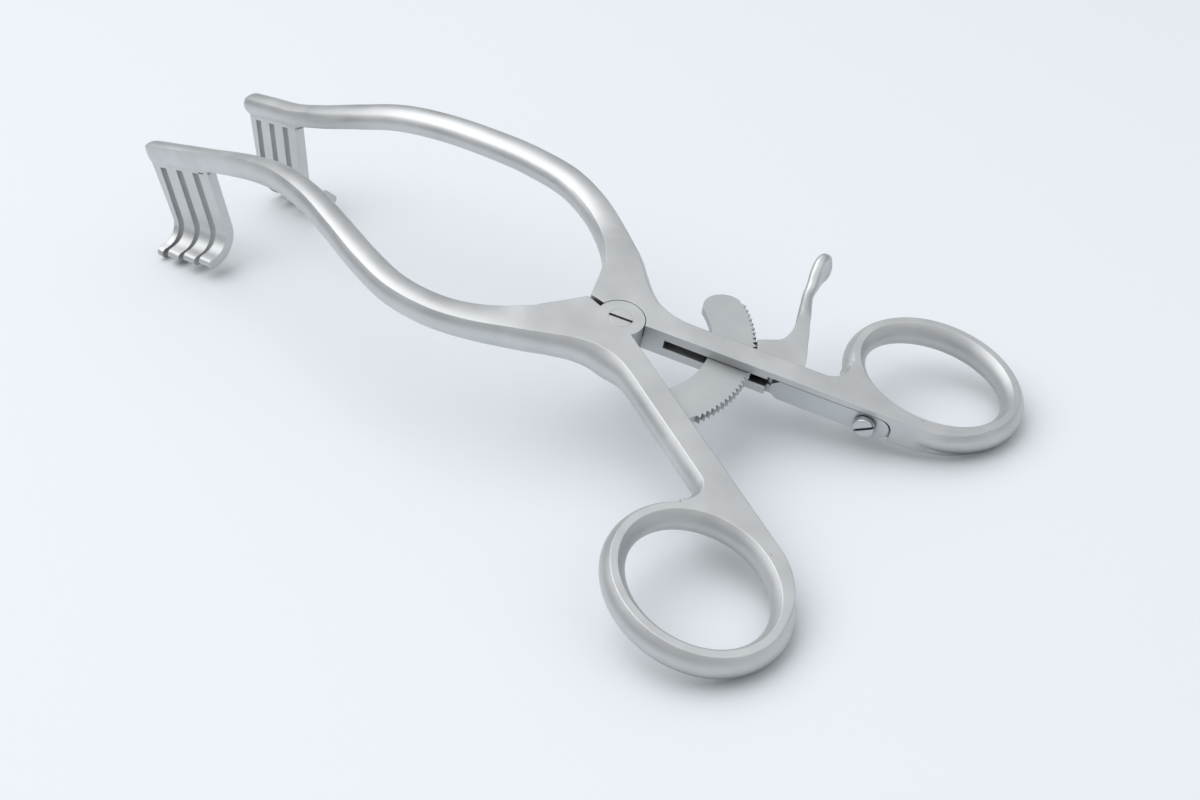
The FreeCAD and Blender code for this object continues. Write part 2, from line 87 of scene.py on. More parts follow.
# Mesh helpers: shapes are drawn in the handle frame and moved into place once they are whole
def toMesh(name, points, faces):
    mesh = bpy.data.meshes.new(name)
    mesh.from_pydata([[round(c, 5) * mm for c in p] for p in points], [], faces)
    work = bmesh.new()
    work.from_mesh(mesh)
    bmesh.ops.recalc_face_normals(work, faces=work.faces)
    work.to_mesh(mesh)
    work.free()
    return addObject(name, mesh)


def skin(name, rows, loop=False):
    # Quads between rows of points, with a cap on each end unless the rows close in a loop
    count = len(rows[0])
    points = [p for row in rows for p in row]
    faces = []
    for i in range(len(rows) if loop else len(rows) - 1):
        a, b = i * count, (i + 1) % len(rows) * count
        faces += [(a + k, a + (k + 1) % count, b + (k + 1) % count, b + k) for k in range(count)]
    if not loop:
        faces += [tuple(range(count)), tuple(range(len(points) - count, len(points)))]
    return toMesh(name, points, faces)


def prism(name, outline, low, high):
    return skin(name, [[(x, y, z) for x, y in outline] for z in (low, high)])


def drum(name, radius, low, high, centre=(0, 0), steps=128):
    turns = [2 * math.pi * k / steps for k in range(steps)]
    return prism(name, [(centre[0] + radius * math.cos(t), centre[1] + radius * math.sin(t)) for t in turns],
                 low, high)


def carve(piece, *cutters, how="DIFFERENCE"):
    for cutter in cutters:
        step = piece.modifiers.new("carve", "BOOLEAN")
        step.operation, step.object, step.solver = how, cutter, "EXACT"
        graph = bpy.context.evaluated_depsgraph_get()
        carved = bpy.data.meshes.new_from_object(piece.evaluated_get(graph))
        piece.modifiers.clear()
        piece.data = carved


def unite(piece, *others):
    carve(piece, *others, how="UNION")


def joined(name, pieces, mirror=False, sharp=24):
    # One object in its place out of several pieces, turned over to the near side where asked
    work = bmesh.new()
    for piece in pieces:
        work.from_mesh(piece.data)
    if mirror:
        for v in work.verts:
            v.co.y = -v.co.y
        bmesh.ops.reverse_faces(work, faces=work.faces)
    openEdges = sum(1 for e in work.edges if len(e.link_faces) != 2)
    print(name, "has", len(work.faces), "faces and", openEdges, "open edges")
    mesh = bpy.data.meshes.new(name)
    work.to_mesh(mesh)
    work.free()
    place = handleAxes.to_4x4()
    place.translation = pivotPoint
    mesh.transform(place)
    mesh.shade_smooth()
    mesh.set_sharp_from_angle(angle=math.radians(sharp))
    return addObject(name, mesh)


def drop(*pieces):
    for piece in pieces:
        bpy.data.objects.remove(piece)


def smoothRows(rows, spacing):
    # Even rows of values on a smooth curve through the given ones, whose first three are x, y, z
    gaps = [math.dist(a[:3], b[:3]) for a, b in zip(rows, rows[1:])]
    slopes = []
    for i in range(len(rows)):
        if i in (0, len(rows) - 1):
            j = min(i, len(gaps) - 1)
            slopes.append([(b - a) / gaps[j] for a, b in zip(rows[j], rows[j + 1])])
        else:
            g, h = gaps[i - 1], gaps[i]
            slope = [((c - b) / h * g + (b - a) / g * h) / (g + h)
                     for a, b, c in zip(rows[i - 1], rows[i], rows[i + 1])]
            for k in range(2, len(slope)):   # no overshoot in height, width or bulge
                if (rows[i][k] - rows[i - 1][k]) * (rows[i + 1][k] - rows[i][k]) <= 0:
                    slope[k] = 0.0
            slopes.append(slope)
    result = []
    for i, gap in enumerate(gaps):
        count = max(1, round(gap / spacing))
        for k in range(count):
            t = k / count
            weights = (2 * t**3 - 3 * t**2 + 1, (t**3 - 2 * t**2 + t) * gap,
                       3 * t**2 - 2 * t**3, (t**3 - t**2) * gap)
            result.append([sum(w * v for w, v in zip(weights, values))
                           for values in zip(rows[i], slopes[i], rows[i + 1], slopes[i + 1])])
    return result + [list(rows[-1])]


def withWays(rows):
    # Each row with the direction in which the rows run on there
    for i, row in enumerate(rows):
        ahead, behind = rows[min(i + 1, len(rows) - 1)], rows[max(i - 1, 0)]
        yield row, (Vector(ahead[:3]) - Vector(behind[:3])).normalized()


def hump(k, count):
    # From 0 up to 1 halfway and back to 0
    return 4 * k / count * (1 - k / count)


def bow(a, middle, b, count):
    # Points from a up to, not including, b on a shallow arc through the middle
    lift = middle - (a + b) / 2
    return [a + (b - a) * (k / count) + lift * hump(k, count) for k in range(count)]


def spokeAt(turn):
    # Turn in radians
    return Vector((math.cos(turn), math.sin(turn), 0))


# Both arms: half their thickness, the shank's inner face by its angle and its distance from the pivot,
# the shank's flat top and how far its sides bulge past it
arm = {"half": 2.9, "shankAngle": 20.2, "faceOffset": 0.285, "flat": 4.5, "bulge": 1.49, "innerBulge": 0.05}
zUp = Vector((0, 0, 1))
along = spokeAt(math.radians(arm["shankAngle"]))
outward = Vector((-along.y, along.x, 0))


def onFace(x, depth=0.0, z=0.0):
    # Point of the shank's inner face at this x, moved into the arm by depth
    return Vector((x, (arm["faceOffset"] - x * outward.x) / outward.y, z)) + outward * depth


def facePlan(x, depth):
    return tuple(onFace(x, depth)[:2])


# Bowed bar of barrel section, from the shank past the joint to the blade. Each station has the middle's
# x, y, z, flat top, outer bulge, inner bulge, height, softness and splay of the foot. Softness rounds the
# forging: wider, its inner edges lower, its flats crowned and its inner side bulging.
bar = {"shankStations": (40.0, 30.0, 20.0, 13.5), "spacing": 1.6, "flatSteps": 8, "sideSteps": 12,
       "softWider": 0.4, "softDrop": 0.45, "softCrown": 0.5, "softBulge": 0.95,
       "stations": [
           (8.95, 6.84, 0.0, 4.5, 1.3, 0.05, 5.8, 0, 0.6), (4.3, 6.25, 0.0, 4.6, 1.1, 0.05, 5.8, 0, 1.5),
           (0.5, 6.85, 0.0, 5.0, 1.2, 0.05, 5.8, 0, 1.0), (-3.1, 8.1, 0.0, 6.2, 1.4, 0.05, 5.8, 0, 0.4),
           (-7.0, 9.9, 0.0, 7.6, 1.4, 0.1, 5.8, 0, 0.1), (-10.5, 13.1, 0.0, 6.6, 1.3, 0.2, 5.8, 0, 0),
           (-14.5, 16.1, -0.3, 5.3, 1.1, 0.4, 5.55, 0.2, 0), (-18.8, 18.9, -0.65, 4.6, 1.0, 0.5, 5.2, 0.5, 0),
           (-26.5, 22.6, -0.85, 4.2, 1.0, 0.6, 5.0, 0.85, 0), (-35.0, 24.4, -0.7, 4.1, 1.0, 0.6, 5.0, 1, 0),
           (-44.0, 23.6, -0.65, 4.0, 1.0, 0.6, 4.9, 1, 0), (-55.4, 21.0, -1.1, 3.8, 0.9, 0.6, 4.8, 1, 0),
           (-65.5, 18.5, -2.3, 3.6, 0.9, 0.6, 4.8, 1, 0), (-76.4, 16.2, -5.3, 3.5, 0.8, 0.5, 4.7, 1, 0),
           (-87.0, 14.2, -10.4, 3.3, 0.7, 0.4, 4.6, 1, 0), (-99.0, 12.8, -17.0, 3.0, 0.4, 0.3, 4.5, 0.8, 0),
           (-106.5, 12.6, -21.0, 2.9, 0.25, 0.3, 4.4, 0.7, 0)],
       "front": (-125.2, 14.15, -29.5),
       # Rounded front end: distance past the front point, and share of the full section
       "tip": ((-9.0, 1), (-1.2, 1), (-0.5, 0.97), (0.0, 0.9), (0.4, 0.78), (0.7, 0.6), (0.85, 0.42))}


def sectionPoints(middle, way, flat, bulge, inner, height, soft, splay):
    side = way.cross(zUp).normalized()
    up = side.cross(way).normalized()
    edge = middle + side * ((flat + inner - bulge) / 2)
    back = edge - side * (flat + bar["softWider"] * soft)
    high, low = up * (height / 2), up * (height / 2 - bar["softDrop"] * soft)
    crown = up * (bar["softCrown"] * soft)
    hollow = back - side * (inner + (bar["softBulge"] - inner) * soft)
    foot = edge - high + side * splay
    return (bow(back + low, (edge + back + high + low) / 2 + crown, edge + high, bar["flatSteps"])
            + bow(edge + high, edge + side * (bulge + splay / 2), foot, bar["sideSteps"])
            + bow(foot, (foot + back - low) / 2 - crown, back - low, bar["flatSteps"])
            + bow(back - low, hollow, back + low, bar["sideSteps"]))


def barPiece():
    flat, bulge, inner = arm["flat"], arm["bulge"], arm["innerBulge"]
    shankRows = [(*onFace(x, (flat + bulge + inner) / 2), flat, bulge, inner, 2 * arm["half"], 0, 0)
                 for x in bar["shankStations"]]
    front, last = Vector(bar["front"]), bar["stations"][-1]
    way = (front - Vector(last[:3])).normalized()
    tipRows = [(*(front + way * d), last[3] * s, last[4] * s, last[5], last[6] * s, last[7] * s, 0)
               for d, s in bar["tip"]]
    rows = smoothRows(shankRows + bar["stations"] + tipRows, bar["spacing"])
    return skin("bar", [sectionPoints(Vector(row[:3]), heading, *row[3:]) for row, heading in withWays(rows)])


# Finger ring: an oval hoop with a narrow flat top and base and bulging sides
ring = {"centre": (48.36, 34.44), "axes": (15.33, 13.13), "turn": 10.4, "halfWide": 2.14, "flat": 1.3,
        "steps": 120, "flatSteps": 3, "sideSteps": 12, "openingInset": 0.03}
ringTurns = [360 / ring["steps"] * n for n in range(ring["steps"])]


def ringPoint(turn, offset, z=0.0):
    # On the ring's oval at this turn, moved outwards square to it
    a, b = ring["axes"]
    t, r = math.radians(turn), math.radians(ring["turn"])
    normal = Vector((b * math.cos(t), a * math.sin(t), 0)).normalized()
    p = Vector((a * math.cos(t), b * math.sin(t), 0)) + normal * offset
    return Vector((ring["centre"][0] + p.x * math.cos(r) - p.y * math.sin(r),
                   ring["centre"][1] + p.x * math.sin(r) + p.y * math.cos(r), z))


def ringSide(k):
    # Down the ring's bulging side: how far from the middle of the section, and how high
    crest, steps = ring["flat"] / 2, ring["sideSteps"]
    return crest + (ring["halfWide"] - crest) * hump(k, steps), arm["half"] * (1 - 2 * k / steps)


def ringPiece():
    crest, steps = ring["flat"] / 2, ring["flatSteps"]
    top = [(-crest + ring["flat"] * k / steps, arm["half"]) for k in range(steps)]
    side = [ringSide(k) for k in range(ring["sideSteps"])]
    half = top + side
    profile = half + [(-d, -z) for d, z in half]   # the other half turned right round
    return skin("ring", [[ringPoint(t, d, z) for d, z in profile] for t in ringTurns], loop=True)


def openingPiece():
    # What is cut out of the fills for the finger, its wall just inside the ring's own
    walls = [ringSide(k) for k in range(ring["sideSteps"] + 1)]
    levels = [(walls[0][0], arm["half"] + 2), *walls, (walls[-1][0], -arm["half"] - 2)]
    inset = ring["openingInset"]
    return skin("opening", [[ringPoint(t, inset - d, z) for t in ringTurns] for d, z in levels])


# Corner between shank and ring: a round fillet with the shank's bulging side, and the flat inner face
# carried on round the ring, its lower edge drawn in sooner than its upper one
corner = {"fillet": 4.0, "filletSteps": 24, "filletBack": 1.4, "fillBack": 0.7, "fillBefore": 2.0,
          "fillDepth": 3.5, "faceSkin": 0.03, "tangentSkin": 0.004, "carrySkin": 0.001, "carryTurn": 62,
          "carrySteps": 24, "carryInner": -0.2, "carryDepth": 1.2, "carryRows": (40.0, 45.0, 50.0),
          "sink": 0.35, "upperPower": 1.3, "lowerPower": 0.75,
          "turnsTried": (150, 260), "placesTried": (20.0, 36.0), "halvings": 30}


def cornerPieces():
    r, half, wide = corner["fillet"], arm["half"], ring["halfWide"]
    crest = ring["flat"] / 2

    # The fillet's middle is a radius from both the shank's ridge and the ring's crest
    first, last = corner["turnsTried"]
    quarterTurns = [first + n / 4 for n in range(4 * (last - first))]
    near, far = corner["placesTried"]
    for _ in range(corner["halvings"]):
        x = (near + far) / 2
        hub = onFace(x, arm["flat"] + arm["innerBulge"] + r)
        gap = min((ringPoint(t, crest) - hub).length for t in quarterTurns)
        near, far = (x, far) if gap > r else (near, x)
    touch = min(quarterTurns, key=lambda t: (ringPoint(t, crest) - hub).length)
    foot, reach = hub - outward * r, ringPoint(touch, crest)
    start = math.atan2(foot.y - hub.y, foot.x - hub.x)
    end = math.atan2(reach.y - hub.y, reach.x - hub.x)
    end += 2 * math.pi if end < start else 0
    steps = corner["filletSteps"]
    turns = [start + (end - start) * n / steps for n in range(steps + 1)]
    rows = []
    for spoke in map(spokeAt, turns):
        count = ring["sideSteps"]
        rim = [hub + spoke * (r - arm["bulge"] * hump(k, count)) + zUp * (half - 2 * half * k / count)
               for k in range(count + 1)]
        behind = hub + spoke * (r + corner["filletBack"])
        rows.append(rim + [behind - zUp * half, behind + zUp * half])
    fillet = skin("fillet", rows)

    # Flat fill from the fillet to the ring's middle line and the shank's inner face
    a, b = ring["axes"]
    d = math.radians(arm["shankAngle"] - ring["turn"])
    tangent = math.degrees(math.atan2(-b * math.cos(d), a * math.sin(d)))
    steps = corner["carrySteps"]
    outline = [tuple((hub + spokeAt(t) * (r + corner["fillBack"]))[:2]) for t in turns[::2]]
    outline += [tuple(ringPoint(touch + (tangent + 360 - touch) * n / steps, 0)[:2])
                for n in range(1, steps + 1)]
    outline += [tuple(ringPoint(tangent, wide - corner["tangentSkin"])[:2]),
                facePlan(foot.x - corner["fillBefore"], corner["faceSkin"]),
                facePlan(foot.x - corner["fillBefore"], corner["fillDepth"])]
    fill = prism("cornerFill", outline, -half, half)

    # The inner face carried on, first straight and then round the ring
    rows = []
    for x in (foot.x, *corner["carryRows"]):
        p, q = onFace(x, corner["carrySkin"]), onFace(x, corner["carryDepth"])
        rows.append([p + zUp * half, p - zUp * half, q - zUp * half, q + zUp * half])
    for n in range(steps + 1):
        share = n / steps
        turn, inner = tangent + corner["carryTurn"] * share, corner["carryInner"]
        high = wide - (wide - crest + corner["sink"]) * share ** corner["upperPower"]
        low = wide - (wide - crest + corner["sink"]) * share ** corner["lowerPower"]
        rows.append([ringPoint(turn, high, half), ringPoint(turn, low, -half),
                     ringPoint(turn, inner, -half), ringPoint(turn, inner, half)])
    return [fillet, fill, skin("carry", rows)]


# Flat plate of the joint: front edge as a smooth curve, then round by points inside the bar, points on
# the shank's face as x and depth, and the neck beside the pivot
plate = {"front": ((-7.9, 0.35), (-9.9, 4.3), (-12.4, 9.0)), "spacing": 0.8,
         "inside": ((-8.0, 12.0), (0, 8.0)),
         "onShank": ((8.0, 3.0), (12.0, 3.0), (12.0, 0.02), (4.85, 0.02)), "neck": ((0.0, 0.0), (-4.8, 0.6))}


def platePiece():
    front = smoothRows([(x, y, 0) for x, y in plate["front"]], plate["spacing"])
    outline = [(x, y) for x, y, z in front] + [*plate["inside"]]
    outline += [facePlan(x, depth) for x, depth in plate["onShank"]] + [*plate["neck"]]
    return prism("plate", outline, -arm["half"], arm["half"])


# Rake blade: a plate under the bar's front end, cut into four tines that hook outwards
blade = {"way": (0.226, -0.08, -0.97), "thick": 2.2, "inset": 0.4, "depth": 5.6, "taper": 1.0,
         "slot": 2.2, "pitch": 5.85, "frontTine": 2.6, "rearTine": 3.4, "overlap": 0.4,
         "straight": 14.1, "hook": 4.6, "run": 1.8, "tipBack": 0.6, "tipRound": 1.1,
         "sideRow": 0.75, "hookStep": 6, "tipStep": 20}


def arcPoints(radius, turns, middle):
    # Side view of an arc: how high, and how far outwards
    return [(middle[0] - radius * math.sin(math.radians(a)), middle[1] - radius * math.cos(math.radians(a)))
            for a in turns]


def bladePieces():
    front, last, t = Vector(bar["front"]), bar["stations"][-1], blade["thick"] / 2
    topLine = (Vector(last[:3]) - front).normalized()
    down = Vector(blade["way"]).normalized()
    rearward = (topLine - down * topLine.dot(down)).normalized()
    outwards = -down.cross(rearward).normalized()
    outwards = outwards if outwards.y > 0 else -outwards
    rise = -topLine.dot(down) / topLine.dot(rearward)
    base = -(last[3] + last[4] + last[5]) / 2 + last[5] + blade["inset"] + t
    foot = -blade["depth"] + last[6] / 2
    bend = foot - blade["straight"]

    def at(p, q, s):
        # p rearwards, q up from the line of the bar, s outwards
        return front + rearward * p - down * (q + rise * p) + outwards * (base + s)

    def leaning(p, q):
        # The front edge leans back towards the bend
        return p + blade["taper"] * max(0.0, min(1.0, q / bend)) if p == 0 else p

    edges = [0.0, blade["frontTine"]]
    for wide in (blade["pitch"], blade["pitch"], blade["slot"] + blade["rearTine"]):
        edges += [edges[-1] + blade["slot"], edges[-1] + wide]
    pieces = [skin("crossbar", [[at(leaning(p, q), q, s) for q, s in ((0, -t), (0, t), (foot, t), (foot, -t))]
                                for p in (0.0, edges[-1])])]

    small, big = blade["hook"], blade["hook"] + 2 * t
    middle, runEnd = (bend, t + small), t + small + blade["run"]
    sideRow = bend * blade["sideRow"]
    side = [(foot, -t), (sideRow, -t)] + arcPoints(big, range(0, 91, blade["hookStep"]), middle)
    side += [(bend - big + t - t * math.cos(math.radians(a)),
              runEnd - blade["tipBack"] + blade["tipRound"] * math.sin(math.radians(a)))
             for a in range(0, 181, blade["tipStep"])]
    side += arcPoints(small, range(90, -1, -blade["hookStep"]), middle) + [(sideRow, t), (foot, t)]
    for p0, p1 in zip(edges[::2], edges[1::2]):
        rows = []
        for p in (p0, p1):
            # Below the foot a tine's two faces are level with each other, above it they follow the bar
            heights = [q - rise * (p - p0) if q < foot else q + blade["overlap"] for q, s in side]
            rows.append([at(leaning(p, q), height, s) for (q, s), height in zip(side, heights)])
        pieces.append(skin("tine", rows))
    return pieces


# Box lap: each arm keeps half of a disc round the pivot and gives way to the other arm's half
lap = {"radius": 4.6, "gap": 0.15, "faceGap": 0.03, "screw": 2.35, "past": 2.0}

# Cuts of the far arm only: slot for the ratchet bar and the lever, recess for the spring, blind pin bore
farCuts = {"slotHigh": 1.94, "slotFront": 8.2, "slotRear": 33.0, "slotDepth": 12, "before": 1.0,
           "recessFront": 27.3, "recessRear": 49.9, "recessTop": 1.6, "recessDepth": 0.9, "recessSteps": 10,
           "pin": (27.2, 12.6), "pinRadius": 1.0, "pinCover": 0.9, "pinSteps": 48}


def farCutters():
    half, cut, before = arm["half"], farCuts["slotHigh"] / 2, farCuts["before"]
    front, rear, deep = farCuts["slotFront"], farCuts["slotRear"], farCuts["slotDepth"]
    corners = ((front, -before), (rear, -before), (rear, deep), (front, deep))
    slotBox = prism("slotBox", [facePlan(x, d) for x, d in corners], -cut, cut)

    # The recess is open below, and its upper rear corner is round
    front, rear, low, top = farCuts["recessFront"], farCuts["recessRear"], -half - 1, farCuts["recessTop"]
    r, steps = (top + half) / 2, farCuts["recessSteps"]
    outline = [(front, low), (front, top)]
    outline += [(rear - r * along.x * (1 - math.sin(a)), top - r * (1 - math.cos(a)))
                for a in (math.radians(90 * k / steps) for k in range(steps + 1))] + [(rear, low)]
    depths = (-before, farCuts["recessDepth"])
    recess = skin("recess", [[onFace(x, d, z) for x, z in outline] for d in depths])
    pinBore = drum("pinBore", farCuts["pinRadius"], -half - lap["past"], half - farCuts["pinCover"],
                   farCuts["pin"], farCuts["pinSteps"])
    return [slotBox, recess, pinBore]


def buildArm(name, node, isFar):
    # The near arm is drawn as the far one and turned over, so its halves of the lap swap
    half, gap, past = arm["half"], lap["faceGap"], arm["half"] + lap["past"]
    body, hoop, opening = barPiece(), ringPiece(), openingPiece()
    fills, tines = [*cornerPieces(), platePiece()], bladePieces()
    if isFar:
        pocket = drum("pocket", lap["radius"] + lap["gap"], -gap, past)
        disc = drum("disc", lap["radius"], -half, -gap)
        cutters = farCutters()
    else:
        pocket = drum("pocket", lap["radius"] + lap["gap"], -past, gap)
        disc = drum("disc", lap["radius"], gap, half)
        cutters = [drum("screwBore", lap["screw"], -past, past)]
    unite(body, *fills)
    carve(body, opening)
    unite(body, hoop)
    carve(body, pocket)
    unite(body, disc)
    carve(body, *cutters)
    unite(body, *tines)
    whole = joined(name, [body], mirror=not isFar)
    drop(body, hoop, opening, pocket, disc, *fills, *tines, *cutters)
    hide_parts(node)
    return whole


farArm = buildArm("farArmBody", "far_arm", True)
nearArm = buildArm("nearArmBody", "near_arm", False)
print("arms drawn")


# Release lever: edges measured from its pin, the heel as x and depth on the shank's face. Each row of the
# pad has the middle's x, y, z from the pin, width, thickness and twist.
lever = {"thick": 1.6, "boreRadius": 1.05, "borePast": 4,
         "noseRadius": 26.05, "noseFrom": 27.5, "noseTo": 41.5, "noseSteps": 24,
         "front": ((-6.0, 6.6), (-4.7, 8.3), (-4.6, 10.8), (-5.7, 14.2), (-6.6, 16.3), (-7.9, 19.2)),
         "end": ((-7.9, 19.2), (-8.2, 20.9), (-7.2, 20.3)),
         "rear": ((-7.2, 20.3), (-4.5, 17.0), (-2.4, 14.1), (-0.1, 10.5), (1.7, 7.8)),
         "heel": ((32.2, 2.4), (31.4, 0.98), (28.6, 1.4)), "spacing": 0.35,
         "pad": ((-5.0, 15.6, 0, 2.7, 1.2, 0), (-6.3, 17.9, 0, 2.7, 1.9, 10), (-7.8, 20.4, 0, 2.4, 2.1, 25),
                 (-8.9, 22.3, 0.1, 2.3, 2.1, 40), (-9.7, 24.6, 0.6, 2.7, 2.3, 55),
                 (-10.5, 26.9, 1.4, 4.3, 2.8, 66), (-11.0, 29.0, 1.9, 5.6, 3.1, 70),
                 (-11.4, 31.0, 2.3, 4.6, 2.4, 72), (-11.6, 32.0, 2.5, 2.2, 1.4, 72)),
         "padSpacing": 0.45, "padSteps": 28, "stemSquare": 0.28, "squareRows": 6,
         "dishRadius": 3.0, "dishDepth": 0.8, "dishBack": 0.8,
         "dishSegments": (96, 64)}


def fromPin(points):
    return [(farCuts["pin"][0] + x, farCuts["pin"][1] + y, *rest) for x, y, *rest in points]


def leverPlate():
    r, steps, t = lever["noseRadius"], lever["noseSteps"], lever["thick"] / 2
    turns = [math.radians(lever["noseFrom"] + (lever["noseTo"] - lever["noseFrom"]) * k / steps)
             for k in range(steps + 1)]
    outline = [(r * math.cos(a), r * math.sin(a)) for a in turns]
    heel = [facePlan(x, depth) for x, depth in lever["heel"]]
    for points in ([outline[-1], *fromPin(lever["front"])], fromPin(lever["end"]),
                   [*fromPin(lever["rear"]), heel[0]]):
        outline += [(x, y) for x, y, z in smoothRows([(x, y, 0) for x, y in points], lever["spacing"])][1:]
    plateBody = prism("leverPlate", outline + heel[1:], -t, t)
    past = lever["borePast"]
    bore = drum("leverBore", lever["boreRadius"], -past, past, farCuts["pin"], farCuts["pinSteps"])
    carve(plateBody, bore)
    drop(bore)
    return plateBody


def leverPad():
    # Oval sections that twist round the stem, squarer where it leaves the plate, then the thumb's hollow
    rows = smoothRows(fromPin(lever["pad"]), lever["padSpacing"])
    skins, frames = [], []
    for i, ((x, y, z, wide, thick, twist), way) in enumerate(withWays(rows)):
        upright = (zUp - way * zUp.dot(way)).normalized()
        sideways = upright.cross(way)
        c, s = math.cos(math.radians(twist)), math.sin(math.radians(twist))
        broad, face = sideways * c + upright * s, upright * c - sideways * s
        middle, power = Vector((x, y, z)), 1 - lever["stemSquare"] * max(0.0, 1 - i / lever["squareRows"])
        section = []
        for k in range(lever["padSteps"]):
            a = 2 * math.pi * (k + 0.5) / lever["padSteps"]
            ca, sa = (math.copysign(abs(v) ** power, v) for v in (math.cos(a), math.sin(a)))
            section.append(middle + broad * (wide / 2 * ca) + face * (thick / 2 * sa))
        skins.append(section)
        frames.append((wide, middle, face, way, thick))
    pad = skin("leverPad", skins)
    wide, middle, face, way, thick = max(frames, key=lambda frameRow: frameRow[0])
    rim, depth = lever["dishRadius"], lever["dishDepth"]
    ball = (rim * rim + depth * depth) / (2 * depth)
    work = bmesh.new()
    around, down = lever["dishSegments"]
    bmesh.ops.create_uvsphere(work, u_segments=around, v_segments=down, radius=ball * mm)
    mesh = bpy.data.meshes.new("dish")
    work.to_mesh(mesh)
    work.free()
    dish = addObject("dish", mesh)
    dish.location = (middle + face * (thick / 2 + ball - depth) - way * lever["dishBack"]) * mm
    carve(pad, dish)
    drop(dish)
    return pad


def buildLever():
    plateBody, pad = leverPlate(), leverPad()
    whole = joined("leverBody", [plateBody, pad], sharp=30)
    drop(plateBody, pad)
    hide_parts("release_lever")
    return whole


leverBody = buildLever()
print("lever drawn")


# Spring screw across the shank's inner face: flat head with a chamfered rim and a slot
springScrew = {"x": 45.4, "z": -0.85, "gap": 0.18, "radius": 2.05, "height": 1.3, "chamfer": 0.25,
               "chamferRow": 0.3, "steps": 72, "slotWide": 0.55, "slotDeep": 0.6, "slotTurn": 35.0,
               "threadRadius": 1.05, "threadLong": 3.2, "threadOverlap": 0.05}


def buildSpringScrew():
    r, h, c, row = (springScrew[k] for k in ("radius", "height", "chamfer", "chamferRow"))
    base = onFace(springScrew["x"], 0, springScrew["z"]) - outward * springScrew["gap"]

    def rim(radius, depth):
        turns = [2 * math.pi * k / springScrew["steps"] for k in range(springScrew["steps"])]
        return [base - outward * depth + along * (radius * math.cos(a)) + zUp * (radius * math.sin(a))
                for a in turns]

    head = skin("screwHead", [rim(r, 0), rim(r, h - c), rim(r - row * c, h - row * c), rim(r - c, h)])
    depths = (springScrew["threadOverlap"], -springScrew["threadLong"])
    thread = skin("screwThread", [rim(springScrew["threadRadius"], d) for d in depths])
    a = math.radians(springScrew["slotTurn"])
    way, across = along * math.cos(a) + zUp * math.sin(a), zUp * math.cos(a) - along * math.sin(a)
    w, past = springScrew["slotWide"] / 2, 2 * r
    cutter = skin("screwSlot", [[base - outward * q + way * p + across * s
                                 for p, s in ((-past, -w), (past, -w), (past, w), (-past, w))]
                                for q in (h - springScrew["slotDeep"], h + 1)])
    carve(head, cutter)
    whole = joined("springScrew", [head, thread], sharp=20)
    drop(head, thread, cutter)
    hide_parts("spring_screw")
    return whole


springHead = buildSpringScrew()
print("spring screw drawn")


# Material helpers
def newMaterial(name):
    material = bpy.data.materials.new(name)
    material.use_nodes = True
    nodes = material.node_tree.nodes
    return material, nodes, material.node_tree.links, nodes["Principled BSDF"]


def noiseNode(nodes, links, coords, scale, detail, roughness=0.55):
    noise = nodes.new("ShaderNodeTexNoise")
    noise.inputs["Scale"].default_value = scale
    noise.inputs["Detail"].default_value = detail
    noise.inputs["Roughness"].default_value = roughness
    links.new(coords, noise.inputs["Vector"])
    return noise.outputs["Fac"]


def stretchNode(nodes, links, value, low, high, fromTo=(0.3, 0.7)):
    stretch = nodes.new("ShaderNodeMapRange")
    stretch.inputs["From Min"].default_value, stretch.inputs["From Max"].default_value = fromTo
    stretch.inputs["To Min"].default_value, stretch.inputs["To Max"].default_value = low, high
    links.new(value, stretch.inputs["Value"])
    return stretch.outputs["Result"]


def toneRamp(nodes, links, value, tones, tint=(1, 1, 1)):
    ramp = nodes.new("ShaderNodeValToRGB")
    while len(ramp.color_ramp.elements) < len(tones):
        ramp.color_ramp.elements.new(0.5)
    for element, (place, tone) in zip(ramp.color_ramp.elements, tones):
        element.position, element.color = place, (*(tone * c for c in tint), 1)
    links.new(value, ramp.inputs["Fac"])
    return ramp.outputs["Color"]


# Bead-blasted stainless steel with soft cloudy patches and rounded edges, with painted shade darkening the
# nooks. Lengths in metres.
satin = {"tone": (0.57, 0.58, 0.585), "cloudTone": (0.66, 0.672, 0.675), "roughness": (0.40, 0.50),
         "grainScale": 5200, "grainDepth": 0.00002, "grainStrength": 0.35, "cloudScale": 110,
         # Reach, samples and tones of the painted shade, which darkens the colour by how enclosed a surface
         # is
         "edgeRound": 0.00022, "edgeSamples": 6, "paintedShadeReach": 0.012, "paintedShadeSamples": 12,
         "paintedShadeTones": ((0.0, 0.10), (0.22, 0.42), (0.5, 0.80), (0.9, 1.0))}


